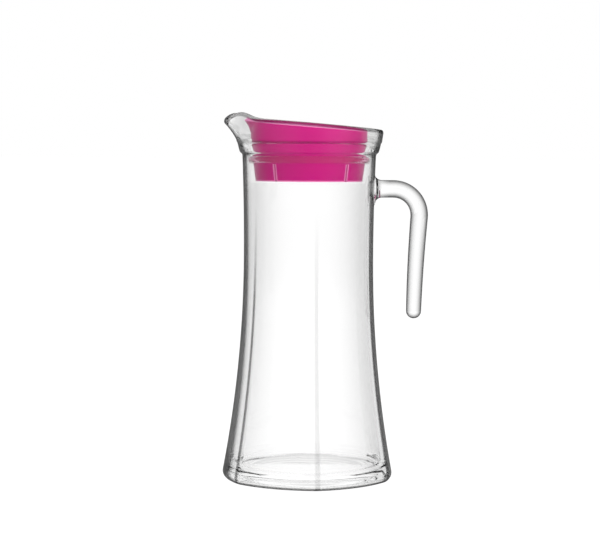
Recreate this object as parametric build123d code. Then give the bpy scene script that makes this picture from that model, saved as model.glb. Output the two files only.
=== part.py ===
# Glass fridge-door jug with a push-in plastic lid, in millimetres.
# +Z is up and the origin is on the body's axis, in the plane that the jug stands on.
# The handle is on the +X side and the pouring spout on the -X side.
# The glass body is a soft six-sided flare below and round at the neck. The handle is a rod of glass
# fused to it at its top end only. The lid is a hollow plug with a soft ring round it.
import os
from math import acos, atan2, cos, degrees, radians, sin, sqrt, tan

from build123d import *

# Body, outside.
waist_radius = 43.4          # to the middle of a panel, at the slimmest height
waist_height = 150.0
flare_arc = 780.0            # radius of the long curve from the waist out to the foot
neck_arc = 1700.0            # radius of the faint curve from the waist out to the neck
ridge_rise = 2.0             # how far a ridge between two panels stands out at the foot
ridge_radius = 6.5
ridge_fade_height = 180.0    # above this the panels have faded into a round neck
panel_count = 6
heel_radius = 5.0

# Wall and base.
wall = 3.0
wall_growth = 0.9            # extra wall at the foot
base_thickness = 7.5
inner_heel_radius = 8.0
inner_ridge_share = 0.45     # the cavity follows the ridges less than the outside does
inner_ridge_radius = 14.0
standing_ring_width = 11.8   # of the flat ring between the heel and the hollow under the base
push_up_depth = 2.2
push_up_dome = 1.0           # extra depth at the middle
push_up_slope = 4.0

# Neck, collar and rim band.
neck_height = 38.4           # from where the panels end to the collar
neck_wall = 3.6
bore_length = 29.4           # of the round bore below the ledge
collar_overhang = 1.6
collar_spread = 1.6          # how much wider the collar is at its top than at its root
collar_height = 7.0
collar_root_fillet = 1.5
band_overhang = 0.6          # of the rim band past the collar
band_flare = 0.146           # growth of radius for each millimetre of height
ledge_width = 3.8            # how much wider the rim's bore is than the neck's
ledge_rise = 2.0

# Spout, pulled out of the rim band. Rises are measured from the lower edge of the band.
spout_start_rise = 1.8
spout_overhang = 9.1         # of the tip of the lip past the band
spout_tip_rise = 15.8
spout_curl = 4.8             # how much of the reach comes in the last, steeper part
spout_tip_radius = 5.2
spout_wall = 3.2
spout_blend = 0.3            # the spout's round part lies this far inside the band
channel_radius = 11.0        # of the pouring channel between the two shoulders

# The rim as it is seen from the side: a slanted line and a shoulder on each side of the lip.
rim_rise_handle = 8.9
rim_slant = 5.6              # degrees
slant_end_share = 0.6        # how far along the band's radius the slanted line runs to the spout
shoulder_setback = 13.0      # from the tip of the lip
shoulder_rise = 5.4          # above the tip of the lip

# Handle.
handle_drop = 23.6           # from the collar down to the centre of the rod
handle_run = 13.5            # from the glass to where the bend starts
handle_bend_radius = 17.8
handle_lean = 4.5            # degrees that the long leg leans back to the body after the bend
handle_leg = 69.8            # from the bend's centre down to the free end
handle_leg_shift = 3.2       # how much nearer the body the free end is than the bend's outside
handle_radius = 5.9
handle_end_radius = 5.15
handle_flare = 5.6           # how far the fused root spreads round the rod
handle_root_depth = 1.6      # how far the root would run past the glass before it is trimmed to it

# Lid. Rises are measured from the lower edge of the rim band.
lid_gap = 2.8                # between the lid and the neck's bore, where the ring isn't
lid_step = 0.6
lid_step_rise = 1.0
lid_draft = 2.7              # how much slimmer the skirt is at its lower edge
lid_depth = 25.4             # how far the skirt reaches below the rim band
lid_taper_height = 19.0
lid_wall = 2.0
lid_slant = 4.3              # degrees
lid_top_rise = 11.0          # of the slanted top, at the axis
lid_plate = 2.2
lid_edge_radius = 0.7
beak_start_rise = 2.4
beak_tip_rise = 13.2
beak_overhang = 3.0
beak_radius = 13.0
beak_blend = 0.2
slit_width = 1.4
slit_length = 11.4
slit_angles = (56.0, 133.5, 226.5, 304.0)
well_margin = 11.5           # from the lid's edge to the recess in its top
well_depth = 14.4
well_taper = 3.0             # degrees
well_floor_radius = 3.0
grip_thickness = 3.4
grip_drop = 1.2              # from the slanted top down to the web's top
grip_edge_radius = 1.0

# Ring round the lid.
ring_fit = 0.15              # clearance to the neck's bore
ring_height = 5.2
ring_rise = 14.9             # from the lid's lower edge to the middle of the ring
ring_groove_depth = 0.8

overshoot = 20.0             # how far a cutting shape runs past what it cuts


def face_radius(height):
    """Outside radius to the middle of a panel, on two long arcs that meet at the waist."""
    arc = flare_arc if height < waist_height else neck_arc
    return waist_radius + (waist_height - height) ** 2 / (2 * arc)


# Heights and radii that follow from the sizes above.
collar_bottom = ridge_fade_height + neck_height
band_bottom = collar_bottom + collar_height
neck_radius = face_radius(collar_bottom)
bore_radius = neck_radius - neck_wall
collar_root_radius = neck_radius + collar_overhang
collar_top_radius = collar_root_radius + collar_spread
band_radius = collar_top_radius + band_overhang
rim_bore_radius = bore_radius + ledge_width
push_up_radius = face_radius(0) - heel_radius - standing_ring_width

spout_start_height = band_bottom + spout_start_rise
spout_tip_height = band_bottom + spout_tip_rise
spout_reach = band_radius + band_flare * spout_tip_rise + spout_overhang
rim_height_handle = band_bottom + rim_rise_handle
slant_end_x = -slant_end_share * band_radius
shoulder_x = shoulder_setback - spout_reach
shoulder_height = spout_tip_height + shoulder_rise

handle_height = collar_bottom - handle_drop
handle_surface_x = face_radius(handle_height)
handle_bend_x = handle_surface_x + handle_run
handle_end_x = handle_bend_x + handle_bend_radius - handle_leg_shift
handle_end_height = handle_height - handle_bend_radius - handle_leg

lid_radius_mid = bore_radius - lid_gap
lid_radius_top = lid_radius_mid + lid_step
lid_radius_bottom = lid_radius_mid - lid_draft
lid_bottom = band_bottom - lid_depth
lid_taper_top = lid_bottom + lid_taper_height
lid_step_height = band_bottom + lid_step_rise
lid_top_height = band_bottom + lid_top_rise
beak_start_height = band_bottom + beak_start_rise
beak_tip_height = band_bottom + beak_tip_rise
beak_reach = lid_radius_top + beak_overhang
slit_top = lid_bottom + slit_length
well_radius = lid_radius_top - well_margin
well_floor_height = lid_top_height - well_depth
ring_middle = lid_bottom + ring_rise
ring_groove_radius = lid_radius_bottom + lid_draft * ring_rise / lid_taper_height - ring_groove_depth


def on_circle(radius, angle):
    return (radius * cos(radians(angle)), radius * sin(radians(angle)))


def turned(lines):
    """A solid turned about Z from a closed outline drawn in (radius, height)."""
    return revolve(make_face(Wire([Plane.XZ * line for line in lines])), Axis.Z)


def line_run(points):
    return [Line(a, b) for a, b in zip(points, points[1:])]


def closed_run(points):
    return line_run(points + points[:1])


def rise_at(height):
    """How far the ridges stand out at a height."""
    return ridge_rise * max(0.0, 1 - height / ridge_fade_height)


def wall_at(height):
    return wall + wall_growth * max(0.0, 1 - height / waist_height)


def band_radius_at(height):
    return band_radius + band_flare * (height - band_bottom)


def panel_outline(panel_radius, rise, corner_radius, height):
    """One closed outline: a long arc for each panel and a short one for each ridge, all tangent."""
    half = 180 / panel_count
    corner_reach = panel_radius + rise - corner_radius
    inner = panel_radius - corner_radius
    lean_cos = cos(radians(half))
    behind = (corner_reach**2 - inner**2) / (2 * inner - 2 * lean_cos * corner_reach)
    turn = radians(half) - atan2(corner_reach * sin(radians(half)), corner_reach * lean_cos + behind)
    along = corner_reach + corner_radius * cos(turn)
    aside = corner_radius * sin(turn)
    corner_half = max(degrees(atan2(aside, along)), 0.5)
    join_radius = sqrt(along**2 + aside**2)
    arcs = []
    for n in range(panel_count):
        middle = n * 2 * half
        start = on_circle(join_radius, middle - half + corner_half)
        end = on_circle(join_radius, middle + half - corner_half)
        following = on_circle(join_radius, middle + half + corner_half)
        arcs.append(ThreePointArc(start, on_circle(panel_radius, middle), end))
        arcs.append(ThreePointArc(end, on_circle(panel_radius + rise, middle + half), following))
    return Pos(0, 0, height) * make_face(Wire(arcs))


def section_heights(lowest):
    """Heights of the lofted outlines, closer together near the foot where the flare is strongest."""
    steps = 8
    span = ridge_fade_height - lowest
    return [lowest + span * (n / steps) ** 1.4 for n in range(steps + 1)]


def flare_outside():
    outlines = [
        panel_outline(face_radius(h), rise_at(h), ridge_radius, h) for h in section_heights(0.0)
    ]
    flare = loft(outlines)
    return fillet(flare.faces().sort_by(Axis.Z)[0].edges(), heel_radius)


def flare_inside():
    outlines = [
        panel_outline(
            face_radius(h) - wall_at(h), rise_at(h) * inner_ridge_share, inner_ridge_radius, h
        )
        for h in section_heights(base_thickness)
    ]
    cavity = loft(outlines)
    return fillet(cavity.faces().sort_by(Axis.Z)[0].edges(), inner_heel_radius)


def neck_outside():
    """Round neck above the panels, with the collar and the rim band, left tall for the slanted cut."""
    low = ridge_fade_height
    top = shoulder_height + overshoot
    middle = (low + collar_bottom) / 2
    curve = ThreePointArc(
        (face_radius(low), low), (face_radius(middle), middle), (face_radius(collar_bottom), collar_bottom)
    )
    rest = line_run([
        (face_radius(collar_bottom), collar_bottom),
        (collar_root_radius, collar_bottom),
        (collar_top_radius, band_bottom),
        (band_radius, band_bottom),
        (band_radius_at(top), top),
        (0, top),
        (0, low),
        (face_radius(low), low),
    ])
    return turned([curve] + rest)


def neck_inside():
    """The bore that the lid's ring seals in, and the wider bore of the rim above its ledge."""
    low = ridge_fade_height
    top = shoulder_height + overshoot
    return turned(closed_run([
        (0, low),
        (face_radius(low) - wall_at(low), low),
        (bore_radius, band_bottom - bore_length),
        (bore_radius, band_bottom),
        (rim_bore_radius, band_bottom + ledge_rise),
        (rim_bore_radius, top),
        (0, top),
    ]))


def nose_outline(radius, reach, tip_radius, height):
    """A circle drawn out to a rounded nose on the -X side."""
    tip_x = reach - tip_radius
    touch = 180 - degrees(acos((radius - tip_radius) / tip_x))
    big_x, big_y = on_circle(radius, touch)
    tip_dx, tip_dy = on_circle(tip_radius, touch)
    big, big_low = (big_x, big_y), (big_x, -big_y)
    tip, tip_low = (tip_dx - tip_x, tip_dy), (tip_dx - tip_x, -tip_dy)
    return Pos(0, 0, height) * make_face(Wire([
        ThreePointArc(big_low, (radius, 0), big),
        Line(big, tip),
        ThreePointArc(tip, (-reach, 0), tip_low),
        Line(tip_low, big_low),
    ]))


def spout_reach_at(height):
    """Reach of the underside of the spout, which curls outward towards its tip."""
    share = (height - spout_start_height) / (spout_tip_height - spout_start_height)
    root = band_radius_at(spout_start_height)
    return root + (spout_reach - root - spout_curl) * share + spout_curl * share**2


def spout_heights():
    steps = 6
    return [spout_start_height + (shoulder_height + 2 - spout_start_height) * n / steps
            for n in range(steps + 1)]


def spout_outside():
    return loft([
        nose_outline(band_radius_at(h) - spout_blend, spout_reach_at(h), spout_tip_radius, h)
        for h in spout_heights()
    ])


def spout_inside():
    return loft([
        nose_outline(
            rim_bore_radius - spout_blend,
            max(spout_reach_at(h) - spout_wall, rim_bore_radius),
            spout_tip_radius,
            h,
        )
        for h in spout_heights()
    ])


def rim_cut():
    """All that is above the rim: the slanted line, the shoulder, and the channel of the lip."""
    slope = tan(radians(rim_slant))
    far = 2 * band_radius
    start = (far, rim_height_handle - (far - band_radius) * slope)
    bend = (slant_end_x, rim_height_handle + (band_radius - slant_end_x) * slope)
    shoulder = (shoulder_x, shoulder_height)
    lip = (-spout_reach - 2, spout_tip_height - 1)
    top = shoulder_height + 2 * overshoot
    rise = Spline(bend, shoulder, tangents=[(-1, slope), (-1, 0)])
    fall = Spline(shoulder, lip, tangents=[(-1, 0), (-0.5, -1)])
    rest = line_run([lip, (-far, spout_tip_height - overshoot), (-far, top), (far, top), start, bend])
    region = make_face(Wire([Plane.XZ * line for line in [rise, fall] + rest]))
    above = extrude(region, amount=far, both=True)
    channel_height = spout_tip_height + channel_radius
    channel = Pos(-spout_reach, 0, channel_height) * Rot(0, 90, 0) * Cylinder(
        channel_radius, 2 * (spout_reach - rim_bore_radius)
    )
    return above + channel


def push_up():
    """The hollow under the base, which leaves a ring for the jug to stand on."""
    edge = push_up_radius - push_up_slope
    return turned(closed_run([
        (0, -overshoot),
        (push_up_radius, -overshoot),
        (push_up_radius, 0),
        (edge, push_up_depth),
        (0, push_up_depth + push_up_dome),
    ]))


def glass_outside():
    return flare_outside() + neck_outside() + spout_outside()


def glass_body(outside):
    inside = flare_inside() + neck_inside() + spout_inside()
    return outside - inside - rim_cut() - push_up()


def glass_handle(outside):
    """A rod that leaves the neck level, bends down and ends free, with its root spread on the glass."""
    root_x = handle_surface_x - handle_root_depth
    bend_end = (
        handle_bend_x + handle_bend_radius * cos(radians(handle_lean)),
        handle_height - handle_bend_radius - handle_bend_radius * sin(radians(handle_lean)),
    )
    down = (-sin(radians(handle_lean)), -cos(radians(handle_lean)))
    run = Line((root_x, handle_height), (handle_bend_x, handle_height))
    bend = TangentArc((handle_bend_x, handle_height), bend_end, tangent=(1, 0))
    tip = (handle_end_x, handle_end_height + handle_end_radius)
    leg = TangentArc(bend_end, tip, tangent=down)
    path = Wire([Plane.XZ * line for line in (run, bend)])
    rod = sweep((path ^ 0) * Circle(handle_radius), path=path)
    leg_path = Wire([Plane.XZ * leg])
    steps = 4
    rod += loft([
        (leg_path ^ (n / steps)) * Circle(handle_radius + (handle_end_radius - handle_radius) * n / steps)
        for n in range(steps + 1)
    ])
    rod += Pos(tip[0], 0, tip[1]) * Sphere(handle_end_radius)
    flare_x = handle_surface_x + handle_flare
    wide = handle_radius + handle_flare
    spread = make_face(Wire([
        Line((root_x, 0), (root_x, wide)),
        Line((root_x, wide), (handle_surface_x, wide)),
        TangentArc((handle_surface_x, wide), (flare_x, handle_radius), tangent=(0, -1)),
        Line((flare_x, handle_radius), (flare_x, 0)),
        Line((flare_x, 0), (root_x, 0)),
    ]))
    root = Pos(0, 0, handle_height) * revolve(Plane.XZ * spread, Axis.X)
    return rod + root - outside


def above_slant(height):
    """Everything above the lid's slanted plane, which crosses the axis at this height."""
    size = 4 * lid_radius_top
    block = Box(size, size, size, align=(Align.CENTER, Align.CENTER, Align.MIN))
    return Pos(0, 0, height) * Rot(0, lid_slant, 0) * block


def lid_beak():
    """The lip of the lid, which curls out over the root of the spout."""
    steps = 5
    top = lid_top_height + lid_radius_top * tan(radians(lid_slant)) + 3
    outlines = []
    for n in range(1, steps + 1):
        height = beak_start_height + (top - beak_start_height) * n / steps
        share = (height - beak_start_height) / (beak_tip_height - beak_start_height)
        reach = lid_radius_top + (beak_reach - lid_radius_top) * share**2
        outlines.append(nose_outline(lid_radius_top - beak_blend, reach, beak_radius, height))
    return loft(outlines)


def well_shape(offset):
    """The recess in the lid's top, or with an offset the wall and floor round it."""
    top = lid_top_height + overshoot
    floor = well_floor_height - offset
    foot_radius = well_radius - (lid_top_height - floor) * tan(radians(well_taper)) + offset
    lip_radius = foot_radius + (top - floor) * tan(radians(well_taper))
    well = turned(closed_run([(0, floor), (foot_radius, floor), (lip_radius, top), (0, top)]))
    return fillet(well.edges().sort_by(Axis.Z)[0], well_floor_radius + offset)


def grip_web(well):
    """The upright web across the recess that a thumb and finger pinch to pull the lid."""
    length = 2 * (well_radius + lid_wall / 2)
    height = lid_top_height + overshoot - well_floor_height
    web = Box(length, grip_thickness, height, align=(Align.CENTER, Align.CENTER, Align.MIN))
    web = Pos(0, 0, well_floor_height - lid_plate / 2) * web - above_slant(lid_top_height - grip_drop)
    top_edges = web.faces().sort_by(Axis.Z)[-1].edges().sort_by(SortBy.LENGTH)[-2:]
    return fillet(top_edges, grip_edge_radius) & well


def lid():
    skirt_top = lid_top_height + overshoot
    outside = turned(closed_run([
        (0, lid_bottom),
        (lid_radius_bottom, lid_bottom),
        (lid_radius_mid, lid_taper_top),
        (lid_radius_mid, lid_step_height),
        (lid_radius_top, lid_step_height),
        (lid_radius_top, skirt_top),
        (0, skirt_top),
    ]))
    outside = outside + lid_beak() - above_slant(lid_top_height)
    rim = outside.faces().sort_by(Axis.Z)[-1].edges()
    outside = fillet(rim, lid_edge_radius)
    hollow = turned(closed_run([
        (0, lid_bottom - overshoot),
        (lid_radius_bottom - lid_wall, lid_bottom - overshoot),
        (lid_radius_bottom - lid_wall, lid_bottom),
        (lid_radius_mid - lid_wall, lid_taper_top),
        (lid_radius_mid - lid_wall, skirt_top),
        (0, skirt_top),
    ]))
    hollow = hollow - above_slant(lid_top_height - lid_plate) - well_shape(lid_wall)
    moulding = outside - hollow - well_shape(0) + grip_web(well_shape(lid_wall / 2))
    groove = Pos(0, 0, ring_middle) * (
        Cylinder(bore_radius, ring_height) - Cylinder(ring_groove_radius, ring_height)
    )
    moulding -= groove
    for angle in slit_angles:
        slit = Box(
            2 * lid_wall + lid_radius_mid - lid_radius_bottom, slit_width, slit_top - lid_bottom + overshoot,
            align=(Align.CENTER, Align.CENTER, Align.MAX),
        )
        x, y = on_circle(lid_radius_bottom, angle)
        moulding -= Pos(x, y, slit_top) * Rot(0, 0, angle) * slit
    return moulding


def lid_seal():
    """The soft ring in the lid's groove, with a round nose that wipes the neck's bore."""
    low = ring_middle - ring_height / 2
    high = ring_middle + ring_height / 2
    nose = bore_radius - ring_fit
    shoulder = nose - ring_height / 2
    return turned([
        Line((ring_groove_radius, low), (shoulder, low)),
        ThreePointArc((shoulder, low), (nose, ring_middle), (shoulder, high)),
        Line((shoulder, high), (ring_groove_radius, high)),
        Line((ring_groove_radius, high), (ring_groove_radius, low)),
    ])


if __name__ == "__main__":
    os.makedirs("parts", exist_ok=True)
    outside = glass_outside()
    pieces = {
        "glass_body": glass_body(outside),
        "glass_handle": glass_handle(outside),
        "lid": lid(),
        "lid_seal": lid_seal(),
    }
    for name, piece in pieces.items():
        export_step(piece, f"parts/{name}.step")
        box = piece.bounding_box()
        print(name, "solids", len(piece.solids()), "volume", round(piece.volume), "box", box.size)
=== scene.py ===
import bpy
import math
from mathutils import Matrix, Vector


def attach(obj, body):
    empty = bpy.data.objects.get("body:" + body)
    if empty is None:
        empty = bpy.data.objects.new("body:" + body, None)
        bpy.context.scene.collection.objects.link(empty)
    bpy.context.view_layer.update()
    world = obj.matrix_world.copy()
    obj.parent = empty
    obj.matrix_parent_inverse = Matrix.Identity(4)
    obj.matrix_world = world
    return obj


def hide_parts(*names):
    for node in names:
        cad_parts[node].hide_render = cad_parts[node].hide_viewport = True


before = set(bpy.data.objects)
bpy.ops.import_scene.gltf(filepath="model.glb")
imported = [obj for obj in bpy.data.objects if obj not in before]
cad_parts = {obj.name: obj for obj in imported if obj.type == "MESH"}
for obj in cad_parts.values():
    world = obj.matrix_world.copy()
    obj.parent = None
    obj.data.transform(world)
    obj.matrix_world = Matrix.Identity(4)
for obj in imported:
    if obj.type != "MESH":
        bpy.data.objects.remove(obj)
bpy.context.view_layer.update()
mm = 0.001

# a tall glass jug, softly six-sided below and round at the neck, with a pink plug lid in its mouth
# +Z is up, the handle is towards +X and the spout towards -X


def deselectAll():
    if bpy.context.object and bpy.context.object.mode == "EDIT":
        bpy.ops.object.mode_set(mode="OBJECT")
    bpy.ops.object.select_all(action="DESELECT")


def makeOnlyActive(piece):
    deselectAll()
    piece.select_set(True)
    bpy.context.view_layer.objects.active = piece


def startRing(name, segments, radius, centre, turn=(0, 0, 0)):
    # a bare circle, left in edit mode with all its points selected
    deselectAll()
    bpy.ops.mesh.primitive_circle_add(
        vertices=segments, radius=radius * mm, location=Vector(centre) * mm, rotation=turn,
        fill_type="NOTHING",
    )
    ring = bpy.context.object
    ring.name = name
    bpy.ops.object.transform_apply(location=True, rotation=True, scale=True)
    bpy.ops.object.mode_set(mode="EDIT")
    bpy.ops.mesh.select_all(action="SELECT")
    return ring


def pullRing(step, factor, about):
    # extrudes the selected ring by step, then opens or closes it about its new centre
    bpy.ops.mesh.extrude_region_move(TRANSFORM_OT_translate={"value": Vector(step) * mm})
    bpy.ops.transform.resize(value=factor, center_override=Vector(about) * mm)


def closePole():
    bpy.ops.mesh.extrude_region_move(TRANSFORM_OT_translate={"value": (0, 0, 0)})
    bpy.ops.mesh.merge(type="CENTER")


def closeRing(piece, points):
    # closes the end ring that this slice of the mesh's points makes up
    bpy.ops.object.mode_set(mode="EDIT")
    bpy.ops.mesh.select_all(action="DESELECT")
    bpy.ops.object.mode_set(mode="OBJECT")
    for point in piece.data.vertices[points]:
        point.select = True
    bpy.ops.object.mode_set(mode="EDIT")
    closePole()


def outwardNormals():
    bpy.ops.mesh.select_all(action="SELECT")
    bpy.ops.mesh.remove_doubles(threshold=0.001 * mm)
    bpy.ops.mesh.normals_make_consistent(inside=False)
    bpy.ops.object.mode_set(mode="OBJECT")


def applyModifier(piece, kind, **settings):
    makeOnlyActive(piece)
    modifier = piece.modifiers.new(kind.title(), kind)
    for name, value in settings.items():
        setattr(modifier, name, value)
    bpy.ops.object.modifier_apply(modifier=modifier.name)


# the glass body, in millimetres and degrees
glassBody = {
    "segments": 240, "outerSteps": 36, "heelSteps": 8, "boreSteps": 4, "innerSteps": 30,
    "smoothAngle": 40.0,
    # the outside, narrowest at its waist, with low ridges between its six panels
    "waistRadius": 43.4, "waistHeight": 150.0, "flareArc": 780.0, "neckArc": 1700.0,
    "ridgeRise": 1.79, "ridgeRadius": 8.0, "ridgeFade": 180.0,
    # the wall and the inside of the body
    "wall": 3.0, "wallGrowth": 0.9, "innerRidgeShare": 0.45, "innerRidgeRadius": 16.0,
    "innerTop": 190.0, "innerFloor": 7.5, "innerHeel": 8.0, "floorDip": 0.5,
    # the foot and the shallow hollow under it, whose steps run outwards from the hollow's radius:
    # how far out, at what height and with how much of the ridges
    "heel": 5.0, "heelFlat": 1.0,
    "pushUpRadius": 41.0, "pushUpDepth": 2.2, "pushUpDome": 1.0, "pushUpEdge": 4.0,
    "footSteps": (
        (-2.6, 1.8, 0), (-1.0, 0.7, 0), (0.0, 0.12, 0.1), (1.2, 0.0, 0.2), (4.0, 0.0, 0.5),
    ),
    # the collar and the ledge inside the rim band, in steps outwards and upwards
    "collarBottom": 218.4, "collarLead": 1.6,
    "collarSteps": ((0.12, -0.9), (0.5, -0.2), (1.0, 0.15), (1.5, 0.6), (1.9, 1.4), (2.6, 3.8)),
    "bandBottom": 225.4, "bandStart": 0.3, "bandSteps": ((3.05, -1.1), (3.25, -0.45)),
    "bandEdge": ((-0.2, 0.25),),
    "bore": 41.17, "boreBottom": 198.0, "rimBore": 44.97, "rimBoreStart": 2.0, "boreFlare": 0.24,
    "ledgeOuter": ((-0.05, 0.75), (-0.1, 0.7)), "ledgeInner": ((0.1, 0.5), (0.0, 0.4), (0.0, -1.0)),
    # the rim band, with a rounded, slanted top
    "bandRadius": 48.57, "bandFlare": 0.146, "rimHandle": 234.3, "rimSlant": 4.6,
    "rimRound": 2.2, "rimSquare": 0.85, "lipRound": 1.0, "lipRoundWidth": 22.0,
    # the spout, between two shoulders
    "spoutStart": 227.2, "spoutTip": 241.2, "spoutOverhang": 9.1, "spoutWidth": 16.0,
    "spoutCurl": 0.43, "shoulderRise": 3.4, "shoulderAway": 23.0, "shoulderInner": 11.0,
    "shoulderOuter": 12.0, "lipDip": 3.3, "lipWidth": 8.5,
}


def faceRadius(height):
    arc = glassBody["flareArc"] if height < glassBody["waistHeight"] else glassBody["neckArc"]
    return glassBody["waistRadius"] + (glassBody["waistHeight"] - height) ** 2 / (2 * arc)


def ridgeAt(height):
    return glassBody["ridgeRise"] * max(0.0, 1 - height / glassBody["ridgeFade"])


def wallAt(height):
    lower = max(0.0, 1 - height / glassBody["waistHeight"])
    return glassBody["wall"] + glassBody["wallGrowth"] * lower


def panelShare(angle, radius, rise, corner):
    # how far the six-sided outline stands out at an angle, as a share of its radius at the middle
    # of a panel
    if rise <= 0:
        return 1.0
    half = math.pi / 6
    away = abs((angle + half) % (2 * half) - half)
    cornerReach = radius + rise - corner
    inner = radius - corner
    behind = (cornerReach**2 - inner**2) / (2 * inner - 2 * math.cos(half) * cornerReach)
    lean = math.atan2(cornerReach * math.sin(half), cornerReach * math.cos(half) + behind)
    turn = half - lean
    cornerHalf = math.atan2(corner * math.sin(turn), cornerReach + corner * math.cos(turn))
    if away < half - cornerHalf:
        arc = radius + behind
        reach = math.sqrt(arc**2 - (behind * math.sin(away)) ** 2) - behind * math.cos(away)
    else:
        off = half - away
        reach = math.sqrt(corner**2 - (cornerReach * math.sin(off)) ** 2)
        reach += cornerReach * math.cos(off)
    return reach / radius


def slantedRim(x):
    slope = math.tan(math.radians(glassBody["rimSlant"]))
    return glassBody["rimHandle"] + (glassBody["bandRadius"] - x) * slope


def fromSpout(angle):
    # degrees away from the middle of the spout
    return abs((math.degrees(angle) % 360) - 180)


def rimHeight(angle):
    # the rim rises in a shoulder at each side of the spout and dips at the lip
    away = fromSpout(angle)
    beyond = away - glassBody["shoulderAway"]
    spread = glassBody["shoulderInner"] if beyond < 0 else glassBody["shoulderOuter"]
    shoulder = glassBody["shoulderRise"] * math.exp(-((beyond / spread) ** 2))
    dip = glassBody["lipDip"] * math.exp(-((away / glassBody["lipWidth"]) ** 2))
    return slantedRim(glassBody["bandRadius"] * math.cos(angle)) + shoulder - dip


def spoutPull(height, angle):
    tipRise = glassBody["spoutTip"] - glassBody["spoutStart"]
    share = max(0.0, (height - glassBody["spoutStart"]) / tipRise)
    curl = (1 - glassBody["spoutCurl"]) * share + glassBody["spoutCurl"] * share**2
    narrow = math.exp(-((fromSpout(angle) / glassBody["spoutWidth"]) ** 2))
    return glassBody["spoutOverhang"] * curl * narrow


def bandOutside(height, angle):
    radius = glassBody["bandRadius"] + glassBody["bandFlare"] * (height - glassBody["bandBottom"])
    return radius + spoutPull(height, angle)


def bandInside(height, angle):
    # the bore opens a little faster than the outside, so the rim is thinner at its top
    rise = max(0.0, height - glassBody["bandBottom"] - glassBody["rimBoreStart"])
    return glassBody["rimBore"] + glassBody["boreFlare"] * rise + spoutPull(height, angle)


def roundAt(angle):
    # the rim is rounded less at the lip
    near = math.exp(-((fromSpout(angle) / glassBody["lipRoundWidth"]) ** 2))
    return glassBody["rimRound"] + (glassBody["lipRound"] - glassBody["rimRound"]) * near


def plainSteps(radius, height, steps):
    return [("plain", radius + out, height + up, 0) for out, up in steps]


def bodyRings():
    # from the middle of the underside up the outside, over the rim and down the inside to its floor
    # each ring has its kind, a radius or what stands for it, a height and a share of the ridges
    rings = []
    dome = glassBody["pushUpRadius"] - glassBody["pushUpEdge"]
    for share in (0.04, 0.25, 0.5, 0.75, 1.0):
        height = glassBody["pushUpDepth"] + glassBody["pushUpDome"] * (1 - share)
        rings.append(("plain", share * dome, height, 0))
    for out, height, ridgeShare in glassBody["footSteps"]:
        rings.append(("plain", glassBody["pushUpRadius"] + out, height, ridgeShare))
    heel = glassBody["heel"]
    rings.append(("plain", faceRadius(0) - heel - glassBody["heelFlat"], 0, 1))
    for n in range(glassBody["heelSteps"] + 1):
        turn = math.radians(90 * n / glassBody["heelSteps"])
        rings.append(("outside", -heel * (1 - math.sin(turn)), heel * (1 - math.cos(turn)), 1))
    collar, top = glassBody["collarBottom"], glassBody["bandBottom"]
    wallRise = collar - glassBody["collarLead"] - heel
    for n in range(1, glassBody["outerSteps"] + 1):
        rings.append(("outside", 0, heel + wallRise * n / glassBody["outerSteps"], 1))
    neck = faceRadius(collar)
    rings += plainSteps(neck, collar, glassBody["collarSteps"])
    rings += plainSteps(neck, top, glassBody["bandSteps"])
    rings += plainSteps(glassBody["bandRadius"], top, glassBody["bandEdge"])
    for share in (0.06, 0.12, 0.24, 0.36, 0.48, 0.6, 0.72, 0.84, 0.94, 1.0):
        rings.append(("bandOutside", share, 0, 0))
    for degrees in range(18, 180, 18):
        rings.append(("lip", math.radians(degrees), 0, 0))
    for share in (1.0, 0.94, 0.84, 0.72, 0.6, 0.48, 0.36, 0.24, 0.14, 0.06):
        rings.append(("bandInside", share, 0, 0))
    rings += plainSteps(glassBody["rimBore"], top, glassBody["ledgeOuter"])
    rings += plainSteps(glassBody["bore"], top, glassBody["ledgeInner"])
    boreTop = rings[-1][2]  # the height of the ledge's last ring
    boreDrop = glassBody["boreBottom"] - boreTop
    for n in range(1, glassBody["boreSteps"] + 1):
        height = boreTop + boreDrop * n / glassBody["boreSteps"]
        rings.append(("plain", glassBody["bore"], height, 0))
    floor, innerHeel = glassBody["innerFloor"], glassBody["innerHeel"]
    innerLow = floor + innerHeel
    innerDrop = innerLow - glassBody["innerTop"]
    for n in range(glassBody["innerSteps"] + 1):
        height = glassBody["innerTop"] + innerDrop * n / glassBody["innerSteps"]
        rings.append(("inside", 0, height, 1))
    for n in range(1, glassBody["heelSteps"]):
        turn = math.radians(90 * n / glassBody["heelSteps"])
        height = innerLow - innerHeel * math.sin(turn)
        rings.append(("inside", -innerHeel * (1 - math.cos(turn)), height, 1))
    flat = faceRadius(floor) - wallAt(floor) - innerHeel
    for share in (1.0, 0.85, 0.68, 0.5, 0.32, 0.16, 0.04):
        rings.append(("floor", flat * share, floor - glassBody["floorDip"] * (1 - share), share))
    return rings


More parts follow.
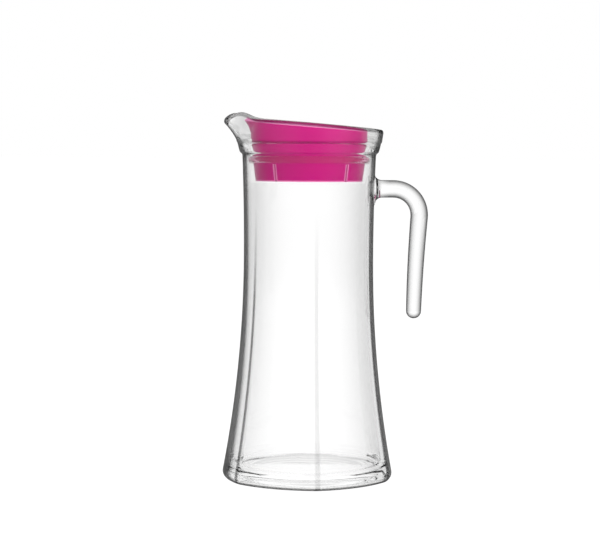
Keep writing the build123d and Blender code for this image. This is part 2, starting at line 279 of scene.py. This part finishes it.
def bodyPoint(ring, angle):
    kind, first, height, ridgeShare = ring
    if kind == "plain":
        rise = ridgeShare * ridgeAt(0)
        radius = first * panelShare(angle, faceRadius(0), rise, glassBody["ridgeRadius"])
    elif kind == "outside":
        base = faceRadius(height)
        share = panelShare(angle, base, ridgeAt(height), glassBody["ridgeRadius"])
        radius = base * share + first
    elif kind in ("inside", "floor"):
        base = faceRadius(height) - wallAt(height)
        rise = ridgeAt(height) * glassBody["innerRidgeShare"] * ridgeShare
        share = panelShare(angle, base, rise, glassBody["innerRidgeRadius"])
        radius = base * share + first if kind == "inside" else first * share
    elif kind == "bandOutside":
        low = glassBody["bandBottom"] + glassBody["bandStart"]
        height = low + first * (rimHeight(angle) - roundAt(angle) - low)
        radius = bandOutside(height, angle)
    elif kind == "bandInside":
        low = glassBody["bandBottom"] + glassBody["rimBoreStart"]
        height = low + first * (rimHeight(angle) - roundAt(angle) - low)
        radius = bandInside(height, angle)
    else:
        # the rounded top of the rim, from its outer side over to its inner side
        top = rimHeight(angle)
        drop = roundAt(angle)
        outer = bandOutside(top - drop, angle)
        inner = bandInside(top - drop, angle)
        across = math.copysign(abs(math.cos(first)) ** glassBody["rimSquare"], math.cos(first))
        radius = (outer + inner) / 2 + (outer - inner) / 2 * across
        height = top - drop * (1 - math.sin(first))
    return radius * math.cos(angle), radius * math.sin(angle), height


def makeGlassBody():
    rings = bodyRings()
    segments = glassBody["segments"]
    radius, aside, height = bodyPoint(rings[0], 0)
    piece = startRing("glassBody", segments, radius, (0, 0, height))
    for ring in rings[1:]:
        nextRadius, aside, nextHeight = bodyPoint(ring, 0)
        factor = nextRadius / radius
        pullRing((0, 0, nextHeight - height), (factor, factor, 1), (0, 0, nextHeight))
        radius, height = nextRadius, nextHeight
    bpy.ops.object.mode_set(mode="OBJECT")
    # the round rings are pressed into the six soft panels, the slanted rim and the spout
    for n, ring in enumerate(rings):
        for point in piece.data.vertices[n * segments:(n + 1) * segments]:
            angle = math.atan2(point.co.y, point.co.x)
            point.co = Vector(bodyPoint(ring, angle)) * mm
    closeRing(piece, slice(-segments, None))
    closeRing(piece, slice(0, segments))
    outwardNormals()
    return piece


# the handle, a rod of glass fused to the neck and bent down to a free end
glassHandle = {
    "segments": 56, "height": 194.8, "rod": 5.9, "endRadius": 5.15,
    "rootStart": 42.1, "surface": 43.98, "flareTop": 5.2, "flareLow": 6.0, "rootSteps": 10,
    "bendX": 57.4, "bendRadius": 17.8, "lean": 4.5, "straightSteps": 3, "bendSteps": 20,
    "endX": 72.0, "endHeight": 107.1, "legSteps": 9, "legFlatten": 0.65, "endSteps": 8,
}


def handleRoot(share):
    # a quarter round from the spread root on the glass to the rod
    turn = math.radians(90 * share)
    flare = (glassHandle["flareTop"] + glassHandle["flareLow"]) / 2
    drop = (glassHandle["flareLow"] - glassHandle["flareTop"]) / 2
    x = glassHandle["surface"] + flare * (1 - math.cos(turn))
    radius = glassHandle["rod"] + flare * (1 - math.sin(turn))
    return x, radius, glassHandle["height"] - drop * (1 - math.sin(turn))


def makeHandle():
    settings = glassHandle
    x, size, height = handleRoot(0)
    place = (settings["rootStart"], height)
    piece = startRing(
        "glassHandle", settings["segments"], size, (settings["rootStart"], 0, height),
        (0, math.pi / 2, 0),
    )
    for n in range(settings["rootSteps"] + 1):
        x, radius, height = handleRoot(n / settings["rootSteps"])
        factor = radius / size
        pullRing((x - place[0], 0, height - place[1]), (1, factor, factor), (x, 0, height))
        place, size = (x, height), radius
    # on level, each step a share of what is left to the bend
    for n in range(1, settings["straightSteps"] + 1):
        x = place[0] + (settings["bendX"] - place[0]) * n / settings["straightSteps"]
        pullRing((x - place[0], 0, 0), (1, 1, 1), (x, 0, settings["height"]))
        place = (x, settings["height"])
    lean = math.radians(settings["lean"])
    bendHeight = settings["height"] - settings["bendRadius"]
    bpy.ops.mesh.spin(
        steps=settings["bendSteps"], angle=-math.radians(90 + settings["lean"]),
        center=Vector((settings["bendX"], 0, bendHeight)) * mm, axis=(0, 1, 0),
    )
    start = Vector((
        settings["bendX"] + settings["bendRadius"] * math.cos(lean), 0,
        bendHeight - settings["bendRadius"] * math.sin(lean),
    ))
    end = Vector((settings["endX"], 0, settings["endHeight"] + settings["endRadius"]))
    # the leg bows gently, from the bend's lean to almost upright
    size, place = settings["rod"], start
    for n in range(1, settings["legSteps"] + 1):
        share = n / settings["legSteps"]
        straight = start.lerp(end, share)
        away = -math.tan(lean) * (start.z - end.z) * share + (start.x - end.x) * share
        nextPlace = Vector((straight.x + away * (1 - share), 0, straight.z))
        radius = settings["rod"] + (settings["endRadius"] - settings["rod"]) * share
        factor = radius / size
        # the rings lean with the bend and are flattened level by level
        pullRing(nextPlace - place, (factor, factor, settings["legFlatten"]), nextPlace)
        place, size = nextPlace, radius
    for n in range(1, settings["endSteps"]):
        turn = math.radians(90 * n / settings["endSteps"])
        radius = settings["endRadius"] * math.cos(turn)
        nextPlace = Vector((end.x, 0, end.z - settings["endRadius"] * math.sin(turn)))
        factor = radius / size
        pullRing(nextPlace - place, (factor, factor, 1), nextPlace)
        place, size = nextPlace, radius
    closePole()
    closeRing(piece, slice(0, settings["segments"]))
    outwardNormals()
    return piece


# the skin inside is the faces turned to the axis, apart from the handle's, with the inner floor and
# the hollow below the foot
insideSkin = {
    "handleFrom": 46.0, "handleLow": 90.0, "handleHigh": 210.0,
    "floorTurn": 0.3, "floorHigh": 30.0, "floorReach": 53.4, "hollowHigh": 5.0, "hollowReach": 49.0,
}


def isInside(face):
    x, y, z = face.center / mm
    out = math.hypot(x, y)
    atHandle = insideSkin["handleLow"] < z < insideSkin["handleHigh"]
    onHandle = atHandle and x > insideSkin["handleFrom"]
    inward = face.normal.x * x + face.normal.y * y < 0 and not onHandle
    level = face.normal.z > insideSkin["floorTurn"] and z < insideSkin["floorHigh"]
    innerFloor = level and out < insideSkin["floorReach"]
    hollow = z < insideSkin["hollowHigh"] and out < insideSkin["hollowReach"]
    return inward or innerFloor or hollow


def makeGlass():
    body = makeGlassBody()
    print("glass body", len(body.data.polygons), "faces")
    handle = makeHandle()
    applyModifier(handle, "SUBSURF", levels=1, render_levels=1)
    print("glass handle", len(handle.data.polygons), "faces")
    # the handle is melted into the neck, so the two become one piece of glass
    applyModifier(body, "BOOLEAN", operation="UNION", object=handle, solver="EXACT")
    bpy.data.objects.remove(handle, do_unlink=True)
    makeOnlyActive(body)
    bpy.ops.object.shade_smooth_by_angle(angle=math.radians(glassBody["smoothAngle"]))
    # one finish for the outer skin and one for the skin inside and below
    body.data.materials.clear()
    body.data.materials.append(clearGlass("clearGlass", True))
    body.data.materials.append(clearGlass("clearGlassInside", False))
    for face in body.data.polygons:
        face.material_index = 1 if isInside(face) else 0
    body.name = "glassJug"
    print("glass jug", len(body.data.polygons), "faces")
    return body


def newMaterial(name):
    material = bpy.data.materials.new(name)
    material.use_nodes = True
    return material, material.node_tree, material.node_tree.nodes["Principled BSDF"]


def giveMaterial(piece, material):
    piece.data.materials.clear()
    piece.data.materials.append(material)


def setInputs(node, values):
    for name, value in values.items():
        node.inputs[name].default_value = value


def feed(tree, value, socket):
    # a number is set on the socket, and what comes from another node is linked to it
    if isinstance(value, (int, float)):
        socket.default_value = value
    else:
        tree.links.new(value, socket)


def mathNode(tree, operation, *values):
    node = tree.nodes.new("ShaderNodeMath")
    node.operation = operation
    for value, socket in zip(values, node.inputs):
        feed(tree, value, socket)
    return node.outputs["Value"]


def chainNodes(tree, operation, first, *others):
    for other in others:
        first = mathNode(tree, operation, first, other)
    return first


def rangeNode(tree, value, start, end, atStart=0.0, atEnd=1.0, kind="LINEAR"):
    # goes from atStart to atEnd while the value goes from start to end
    node = tree.nodes.new("ShaderNodeMapRange")
    node.interpolation_type = kind
    setInputs(node, {"From Min": start, "From Max": end, "To Min": atStart, "To Max": atEnd})
    tree.links.new(value, node.inputs["Value"])
    return node.outputs["Result"]


def mixNode(tree, share, first, second):
    # the first at share 0 and the second at share 1 and above
    node = tree.nodes.new("ShaderNodeMix")
    node.data_type = "FLOAT"
    tree.links.new(share, node.inputs["Factor"])
    feed(tree, first, node.inputs["A"])
    feed(tree, second, node.inputs["B"])
    return node.outputs["Result"]


def mixColours(tree, share, first, second):
    node = tree.nodes.new("ShaderNodeMixRGB")
    tree.links.new(share, node.inputs["Fac"])
    tree.links.new(first, node.inputs["Color1"])
    node.inputs["Color2"].default_value = (*second, 1)
    return node.outputs["Color"]


def colourRamp(tree, value, stops):
    # the stops are pairs of place and colour
    ramp = tree.nodes.new("ShaderNodeValToRGB")
    elements = ramp.color_ramp.elements
    while len(elements) < len(stops):
        elements.new(0.5)
    for element, (position, colour) in zip(elements, stops):
        element.position = position
        element.color = (*colour, 1)
    tree.links.new(value, ramp.inputs["Fac"])
    return ramp.outputs["Color"]


def objectPlace(tree):
    return tree.nodes.new("ShaderNodeTexCoord").outputs["Object"]


def splitAxes(tree, place):
    split = tree.nodes.new("ShaderNodeSeparateXYZ")
    tree.links.new(place, split.inputs["Vector"])
    return [split.outputs[axis] for axis in "XYZ"]


def edgeOn(tree):
    # 0 where the surface is seen straight on and 1 where it is seen along
    weight = tree.nodes.new("ShaderNodeLayerWeight")
    weight.inputs["Blend"].default_value = 0.5
    return weight.outputs["Facing"]


def noiseNode(tree, place, scale, detail=2.0):
    noise = tree.nodes.new("ShaderNodeTexNoise")
    setInputs(noise, {"Scale": scale, "Detail": detail})
    tree.links.new(place, noise.inputs["Vector"])
    return noise.outputs["Fac"]


def addBump(tree, shader, height, strength, distance):
    bump = tree.nodes.new("ShaderNodeBump")
    setInputs(bump, {"Strength": strength, "Distance": distance})
    tree.links.new(height, bump.inputs["Height"])
    tree.links.new(bump.outputs["Normal"], shader.inputs["Normal"])


glassLook = {
    "waveSize": 28.0, "waveBump": 0.05, "waveDepth": 0.5,
    # painted shade: the tint from straight on to edge on, as pairs of place and grey
    "outside": (
        (0.0, 1.0), (0.057, 0.98), (0.115, 0.92), (0.152, 0.88), (0.182, 0.85), (0.286, 0.72),
        (0.4, 0.62), (0.525, 0.68), (0.585, 0.6), (0.63, 0.26), (0.67, 0.03), (0.8, 0.01),
    ),
    "inside": ((0.0, 1.0), (0.6, 0.97), (1.0, 0.7)),
    "rod": (
        (0.0, 1.0), (0.05, 0.9), (0.1, 0.76), (0.16, 0.62), (0.24, 0.42), (0.36, 0.2), (0.48, 0.06),
        (0.65, 0.01),
    ),
    "rodFrom": 45.0, "rodFull": 54.0, "rodLow": 100.0, "rodHigh": 204.0,
    # the painted shade line where two panels meet: half its width, and how dark it is straight on
    # and edge on
    "lineHalf": 0.8, "lineFade": 0.9, "lineFront": 0.3, "lineSlant": 1.5, "lineMost": 0.9,
    "lineTop": 182.0, "lineFull": 120.0,
    # painted shade bands round the glass: how far below the rim's edge or up the body, half the
    # width and the tint that is left
    "rimBand": (1.4, 0.8, 0.22), "collarBand": (225.9, 0.6, 0.6), "footBand": (0.0, 1.5, 0.08),
    "spoutFrom": 46.0, "spoutFull": 50.0, "spoutPower": 0.3,
    "baseTop": 14.0, "baseTint": 0.94,
}


# painted shade, darker from straight on to edge on
def paintedEdgeShade(tree, facing, tint):
    return colourRamp(tree, facing, [(place, (grey, grey, grey)) for place, grey in tint])


def paintedRidgeShade(tree, place, facing):
    # painted shade: the tint that is left, all of it on the panels and less on the six lines
    # between them
    x, y, z = splitAxes(tree, place)
    sixth = math.pi / 3
    turns = mathNode(tree, "DIVIDE", mathNode(tree, "ARCTAN2", y, x), sixth)
    part = mathNode(tree, "FRACT", mathNode(tree, "ADD", turns, 6.0))  # 6 keeps it above 0
    away = mathNode(tree, "ABSOLUTE", mathNode(tree, "SUBTRACT", part, 0.5))
    reach = mathNode(tree, "MULTIPLY", away, glassBody["waistRadius"] * mm * sixth)
    half = glassLook["lineHalf"]
    line = rangeNode(tree, reach, (half + glassLook["lineFade"]) * mm, half * mm)
    low = rangeNode(tree, z, glassLook["lineTop"] * mm, glassLook["lineFull"] * mm)
    dark = mathNode(tree, "MULTIPLY_ADD", facing, glassLook["lineSlant"], glassLook["lineFront"])
    geometry = tree.nodes.new("ShaderNodeNewGeometry")
    front = mathNode(tree, "SUBTRACT", 1.0, geometry.outputs["Backfacing"])
    shade = chainNodes(tree, "MULTIPLY", line, low, dark, front)
    shade = mathNode(tree, "MINIMUM", shade, glassLook["lineMost"])
    return mathNode(tree, "SUBTRACT", 1.0, shade)


def levelBand(tree, level, middle, half, left):
    # painted shade: the tint that is left at each level, less within a soft-edged band
    away = mathNode(tree, "ABSOLUTE", mathNode(tree, "SUBTRACT", level, middle * mm))
    return rangeNode(tree, away, half * mm, 2 * half * mm, left, 1.0, "SMOOTHSTEP")


def bellCurve(tree, value, middle, spread):
    off = mathNode(tree, "DIVIDE", mathNode(tree, "SUBTRACT", value, middle), spread)
    return mathNode(tree, "EXPONENT", chainNodes(tree, "MULTIPLY", off, off, -1.0))


def paintedShadeBands(tree, place):
    # painted shade: the rim's edge, the collar and the foot each carry a darker line
    x, y, z = splitAxes(tree, place)
    angle = mathNode(tree, "ABSOLUTE", mathNode(tree, "ARCTAN2", y, x))
    across = mathNode(tree, "COSINE", angle)
    slope = -glassBody["bandRadius"] * mm * math.tan(math.radians(glassBody["rimSlant"]))
    level = mathNode(tree, "MULTIPLY_ADD", across, slope, slantedRim(0) * mm)
    # as in rimHeight, with the shoulders beside the spout and the dip of the lip between them
    away = mathNode(tree, "SUBTRACT", math.pi, angle)
    spread = (glassBody["shoulderInner"] + glassBody["shoulderOuter"]) / 2
    shoulder = bellCurve(
        tree, away, math.radians(glassBody["shoulderAway"]), math.radians(spread)
    )
    level = mathNode(tree, "MULTIPLY_ADD", shoulder, glassBody["shoulderRise"] * mm, level)
    dip = bellCurve(tree, away, 0.0, math.radians(glassBody["lipWidth"]))
    level = mathNode(tree, "MULTIPLY_ADD", dip, -glassBody["lipDip"] * mm, level)
    rim = levelBand(tree, mathNode(tree, "SUBTRACT", level, z), *glassLook["rimBand"])
    collar = levelBand(tree, z, *glassLook["collarBand"])
    foot = levelBand(tree, z, *glassLook["footBand"])
    return mathNode(tree, "MULTIPLY", rim, mathNode(tree, "MULTIPLY", collar, foot))


def spoutPower(tree, place):
    # the painted edge shade is lighter on the spout's thin wall than on the body's: the power that
    # its tint is raised to
    x, y, z = splitAxes(tree, place)
    start, end = -glassLook["spoutFrom"] * mm, -glassLook["spoutFull"] * mm
    less = mathNode(
        tree, "SUBTRACT", 1.0, rangeNode(tree, x, start, end, 1.0, glassLook["spoutPower"])
    )
    above = mathNode(tree, "GREATER_THAN", z, glassBody["bandBottom"] * mm)
    return mathNode(tree, "SUBTRACT", 1.0, mathNode(tree, "MULTIPLY", less, above))


def rodShare(tree, place):
    # 1 on the handle's solid rod and 0 on the body, with a soft change along the root, where the
    # rod's painted shade takes over
    x, y, z = splitAxes(tree, place)
    out = rangeNode(tree, x, glassLook["rodFrom"] * mm, glassLook["rodFull"] * mm)
    above = mathNode(tree, "GREATER_THAN", z, glassLook["rodLow"] * mm)
    below = mathNode(tree, "LESS_THAN", z, glassLook["rodHigh"] * mm)
    return chainNodes(tree, "MULTIPLY", out, above, below)


def clearWithin(tree, place, tint):
    # in the thick base, the painted shade gives way to a light grey where light meets the skin from
    # inside the glass, so it is hardly darkened
    x, y, z = splitAxes(tree, place)
    low = mathNode(tree, "LESS_THAN", z, glassLook["baseTop"] * mm)
    geometry = tree.nodes.new("ShaderNodeNewGeometry")
    share = mathNode(tree, "MULTIPLY", low, geometry.outputs["Backfacing"])
    return mixNode(tree, share, tint, glassLook["baseTint"])


def clearGlass(name, outer):
    # painted shade: the glass's tint darkens where it is seen along its surface, in place of the
    # dark surroundings seen through its edges
    material, tree, shader = newMaterial(name)
    place = objectPlace(tree)
    facing = edgeOn(tree)
    if outer:
        tint = paintedEdgeShade(tree, facing, glassLook["outside"])
        wall = mathNode(tree, "POWER", tint, spoutPower(tree, place))
        lines = mathNode(tree, "MULTIPLY", paintedRidgeShade(tree, place, facing), paintedShadeBands(tree, place))
        wall = mathNode(tree, "MULTIPLY", wall, lines)
        rod = paintedEdgeShade(tree, facing, glassLook["rod"])
        tint = clearWithin(tree, place, mixNode(tree, rodShare(tree, place), wall, rod))
    else:
        tint = paintedEdgeShade(tree, facing, glassLook["inside"])
        # little is reflected back off the skin inside, so it doesn't veil the lid
        shader.inputs["Specular Tint"].default_value = (0.1, 0.1, 0.1, 1)
    tree.links.new(tint, shader.inputs["Base Color"])
    setInputs(shader, {"Roughness": 0.0, "IOR": 1.5, "Transmission Weight": 1.0})
    waves = noiseNode(tree, place, glassLook["waveSize"], detail=1.0)
    addBump(tree, shader, waves, glassLook["waveBump"], glassLook["waveDepth"] * mm)
    return material


lidLook = {
    "colour": (0.67, 0.005, 0.235), "darker": (0.93, 0.9, 0.93), "lighter": (1.05, 1.2, 1.05),
    "pale": (1.0, 0.30, 0.62), "grainSize": 60, "fineSize": 900, "fineBump": 0.08, "fineDepth": 0.2,
    # where a painted glow stands in for light through the thin plastic: at the slits, whose places
    # are in degrees, along the skirt's lower edge, round the top edge as a painted highlight and on
    # the skirt's inner side
    "slits": (56.0, 133.5), "slitHalf": 1.0, "slitRadius": 37.0, "slitFade": 1.7, "slitTop": 211.6,
    "lowEdge": 200.5, "lowFade": 201.1,
    "topMiddle": 235.75, "topHalf": 0.5, "topFade": 1.3, "topSlant": 4.3, "topRadius": 36.5,
    "innerTurn": -0.01, "glow": 1.0,
    "shader": {
        "Roughness": 0.34, "Specular IOR Level": 0.16,
        "Sheen Weight": 0.5, "Sheen Roughness": 0.25, "Sheen Tint": (1.0, 0.7, 0.88, 1),
        "Subsurface Weight": 0.15, "Subsurface Radius": (1.0, 0.25, 0.5), "Subsurface Scale": 0.002,
    },
}


def slitPaintedGlow(tree, x, y):
    # painted glow at the slits, which come in pairs, one on each side of the lid
    angle = mathNode(tree, "ARCTAN2", mathNode(tree, "ABSOLUTE", y), x)
    half = lidLook["slitHalf"] / lidLook["slitRadius"]
    fades = []
    for slit in lidLook["slits"]:
        off = mathNode(tree, "SUBTRACT", angle, math.radians(slit))
        away = mathNode(tree, "ABSOLUTE", off)
        fades.append(rangeNode(tree, away, lidLook["slitFade"] * half, half))
    return chainNodes(tree, "MAXIMUM", *fades)


# a painted highlight along the lid's slanted top edge, outside the well
def topPaintedHighlight(tree, x, y, z):
    level = mathNode(tree, "MULTIPLY_ADD", x, math.tan(math.radians(lidLook["topSlant"])), z)
    off = mathNode(tree, "SUBTRACT", level, lidLook["topMiddle"] * mm)
    half = lidLook["topHalf"]
    edge = rangeNode(
        tree, mathNode(tree, "ABSOLUTE", off), lidLook["topFade"] * half * mm, half * mm
    )
    squares = [mathNode(tree, "MULTIPLY", side, side) for side in (x, y)]
    out = mathNode(tree, "SQRT", mathNode(tree, "ADD", *squares))
    outside = mathNode(tree, "GREATER_THAN", out, lidLook["topRadius"] * mm)
    return mathNode(tree, "MULTIPLY", edge, outside)


def innerSide(tree, place):
    # the skirt's inner side, whose normals point to the axis, is painted pale as if lit through its
    # thin wall
    flat = tree.nodes.new("ShaderNodeVectorMath")
    flat.operation = "MULTIPLY"
    flat.inputs[1].default_value = (1, 1, 0)
    tree.links.new(place, flat.inputs[0])
    outwards = tree.nodes.new("ShaderNodeVectorMath")
    outwards.operation = "DOT_PRODUCT"
    tree.links.new(flat.outputs["Vector"], outwards.inputs[0])
    geometry = tree.nodes.new("ShaderNodeNewGeometry")
    tree.links.new(geometry.outputs["Normal"], outwards.inputs[1])
    return mathNode(tree, "LESS_THAN", outwards.outputs["Value"], lidLook["innerTurn"])


# painted light: the places painted pale as a glow or highlight
def paintedGlowPlaces(tree, place):
    x, y, z = splitAxes(tree, place)
    under = mathNode(tree, "LESS_THAN", z, lidLook["slitTop"] * mm)
    slits = mathNode(tree, "MULTIPLY", slitPaintedGlow(tree, x, y), under)
    low = rangeNode(tree, z, lidLook["lowFade"] * mm, lidLook["lowEdge"] * mm)
    inner = mathNode(tree, "MULTIPLY", innerSide(tree, place), under)
    thin = chainNodes(tree, "MAXIMUM", slits, low, topPaintedHighlight(tree, x, y, z), inner)
    return mathNode(tree, "MULTIPLY", thin, lidLook["glow"])


def pinkPlastic():
    material, tree, shader = newMaterial("pinkPlastic")
    place = objectPlace(tree)
    dark, light = (
        [channel * share for channel, share in zip(lidLook["colour"], lidLook[shade])]
        for shade in ("darker", "lighter")
    )
    grain = noiseNode(tree, place, lidLook["grainSize"], detail=3)
    colour = colourRamp(tree, grain, ((0.0, dark), (1.0, light)))
    # painted glow and highlight in the pale colour
    colour = mixColours(tree, paintedGlowPlaces(tree, place), colour, lidLook["pale"])
    tree.links.new(colour, shader.inputs["Base Color"])
    setInputs(shader, lidLook["shader"])
    fine = noiseNode(tree, place, lidLook["fineSize"])
    addBump(tree, shader, fine, lidLook["fineBump"], lidLook["fineDepth"] * mm)
    return material


sealLook = {
    "darker": (0.94, 0.55, 0.74), "lighter": (0.96, 0.62, 0.80), "cloudSize": 120,
    # painted: pink that stands in for the lid seen through it, and a painted pale edge where its
    # nose is seen edge on
    "clear": (0.9, 0.75, 0.84), "clearFrom": 0.75, "clearFull": 0.95,
    "shader": {
        "Roughness": 0.1, "Specular Tint": (0.2, 0.2, 0.2, 1), "Transmission Weight": 0.95,
        "IOR": 1.41,
    },
}


def clearSilicone():
    material, tree, shader = newMaterial("clearSilicone")
    cloud = noiseNode(tree, objectPlace(tree), sealLook["cloudSize"])
    colour = colourRamp(tree, cloud, ((0.0, sealLook["darker"]), (1.0, sealLook["lighter"])))
    # painted pale edge where the seal is seen edge on
    clear = rangeNode(tree, edgeOn(tree), sealLook["clearFrom"], sealLook["clearFull"])
    colour = mixColours(tree, clear, colour, sealLook["clear"])
    tree.links.new(colour, shader.inputs["Base Color"])
    setInputs(shader, sealLook["shader"])
    return material


# the room: a white sweep, a pale floor and soft lamps
room = {
    "cameraDistance": 1280, "cameraHeight": 228, "azimuth": -7.0, "roll": 0.40, "sensor": 36,
    # in the picture's pixels: the lens, the frame and where the jug's axis and base are seen
    "focalPixels": 1908, "frameWidth": 600, "frameHeight": 536, "axisPixel": 308.4,
    "basePixel": 476.2,
    "floorSize": 40, "floorDrop": 0.2, "floorGrey": 0.9,
}


def makeCamera():
    azimuth = math.radians(room["azimuth"])
    back = Vector((math.sin(azimuth), -math.cos(azimuth), 0))
    place = back * room["cameraDistance"] * mm + Vector((0, 0, room["cameraHeight"] * mm))
    deselectAll()
    bpy.ops.object.camera_add(location=place)
    camera = bpy.context.object
    camera.name = "photoCamera"
    camera.data.sensor_width = room["sensor"]
    camera.data.lens = room["focalPixels"] / room["frameWidth"] * room["sensor"]
    baseDown = math.atan2(room["cameraHeight"], room["cameraDistance"])
    belowMiddle = (room["basePixel"] - room["frameHeight"] / 2) / room["focalPixels"]
    pitch = baseDown - math.atan(belowMiddle)
    aside = math.atan((room["axisPixel"] - room["frameWidth"] / 2) / room["focalPixels"])
    turn = Matrix.Rotation(azimuth + aside, 4, "Z")
    tip = Matrix.Rotation(math.pi / 2 - pitch, 4, "X")
    roll = Matrix.Rotation(math.radians(room["roll"]), 4, "Z")
    camera.matrix_world = Matrix.Translation(place) @ turn @ tip @ roll
    bpy.context.scene.camera = camera


def makeLamp(name, place, aim, size, power, shines=False):
    # a lamp that shines is also seen in the gloss
    deselectAll()
    bpy.ops.object.light_add(type="AREA", location=place)
    lamp = bpy.context.object
    lamp.name = name
    lamp.data.shape = "RECTANGLE"
    lamp.data.size, lamp.data.size_y = size
    lamp.data.energy = power
    lamp.rotation_euler = (Vector(aim) - Vector(place)).to_track_quat("-Z", "Y").to_euler()
    lamp.visible_camera = lamp.visible_transmission = False
    lamp.visible_glossy = shines
    return lamp


def shineThrough(lamps, pieces):
    # clear pieces cast no shadow and aren't lit themselves: Cycles would otherwise leave what is
    # behind them dark
    clear = bpy.data.collections.new("clearPieces")
    for n, piece in enumerate(pieces):
        clear.objects.link(piece)
        clear.collection_objects[n].light_linking.link_state = "EXCLUDE"
    for lamp in lamps:
        lamp.light_linking.blocker_collection = clear
        lamp.light_linking.receiver_collection = clear


# how bright the room is to each kind of ray: it is a little over white where glass is seen through
# the sweep turns into the ceiling between two heights, from 0 at the horizon to 1 straight up
roomLight = {
    "seen": 1.0, "through": 1.18, "overhead": 0.75, "throughHeights": (0.3, 0.85),
    "glossLow": 0.05, "glossHigh": 0.8, "glossHeights": (0.15, 0.8),
    "diffuse": 0.5, "floorSeen": 1.15, "floorShare": 0.8,
}


def lightByRay(tree, through, gloss, seen):
    path = tree.nodes.new("ShaderNodeLightPath")
    light = mixNode(tree, path.outputs["Is Glossy Ray"], through, gloss)
    light = mixNode(tree, path.outputs["Is Transmission Ray"], light, through)
    light = mixNode(tree, path.outputs["Diffuse Depth"], light, roomLight["diffuse"])
    return mixNode(tree, path.outputs["Is Camera Ray"], light, seen)


def makeWorld():
    # white for the eye and through the glass, a dim room with a bright ceiling in reflections
    world = bpy.data.worlds.new("whiteSweep")
    bpy.context.scene.world = world
    world.use_nodes = True
    tree = world.node_tree
    height = splitAxes(tree, tree.nodes.new("ShaderNodeTexCoord").outputs["Generated"])[2]
    through = rangeNode(
        tree, height, *roomLight["throughHeights"], roomLight["through"], roomLight["overhead"],
        "SMOOTHSTEP",
    )
    gloss = rangeNode(
        tree, height, *roomLight["glossHeights"], roomLight["glossLow"], roomLight["glossHigh"],
        "SMOOTHSTEP",
    )
    light = lightByRay(tree, through, gloss, roomLight["seen"])
    tree.links.new(light, tree.nodes["Background"].inputs["Color"])


def makeFloor():
    deselectAll()
    place = (0, 0, -room["floorDrop"] * mm)
    bpy.ops.mesh.primitive_plane_add(size=room["floorSize"], location=place)
    floor = bpy.context.object
    floor.name = "paleFloor"
    material, tree, shader = newMaterial("paleFloor")
    grey = room["floorGrey"]
    setInputs(shader, {"Base Color": (grey, grey, grey, 1), "Roughness": 0.9})
    light = lightByRay(tree, roomLight["through"], roomLight["glossLow"], roomLight["floorSeen"])
    white = tree.nodes.new("ShaderNodeEmission")
    tree.links.new(light, white.inputs["Strength"])
    blend = tree.nodes.new("ShaderNodeMixShader")
    blend.inputs["Fac"].default_value = roomLight["floorShare"]
    tree.links.new(shader.outputs["BSDF"], blend.inputs[1])
    tree.links.new(white.outputs["Emission"], blend.inputs[2])
    tree.links.new(blend.outputs["Shader"], tree.nodes["Material Output"].inputs["Surface"])
    floor.data.materials.append(material)


makeCamera()
makeWorld()
makeFloor()
lamps = [
    makeLamp("frontLamp", (0.15, -1.3, 0.6), (0, 0, 0.15), (0.5, 0.5), 5),
    makeLamp("leftLamp", (-1.0, -0.65, 0.4), (0, 0, 0.2), (1.3, 1.0), 5, True),
    makeLamp("rightLamp", (0.93, -0.76, 0.4), (0, 0, 0.2), (1.3, 1.0), 8, True),
    makeLamp("backLamp", (0.3, 1.3, 0.8), (0, 0, 0.15), (0.6, 0.6), 3),
    makeLamp("topLamp", (0, 0.1, 1.1), (0, 0, 0.15), (0.8, 0.8), 3, True),
]
print("room ready")

glassJug = makeGlass()
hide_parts("glass_body", "glass_handle")
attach(glassJug, "jug")
shineThrough(lamps, (glassJug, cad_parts["lid_seal"]))
print("glass ready")

giveMaterial(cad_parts["lid"], pinkPlastic())
giveMaterial(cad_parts["lid_seal"], clearSilicone())
print("lid ready")

bpy.context.scene.view_settings.view_transform = "Standard"
# light turns many times inside the thick base
bpy.context.scene.cycles.max_bounces = 24
bpy.context.scene.cycles.glossy_bounces = 16
bpy.context.scene.cycles.transmission_bounces = 24
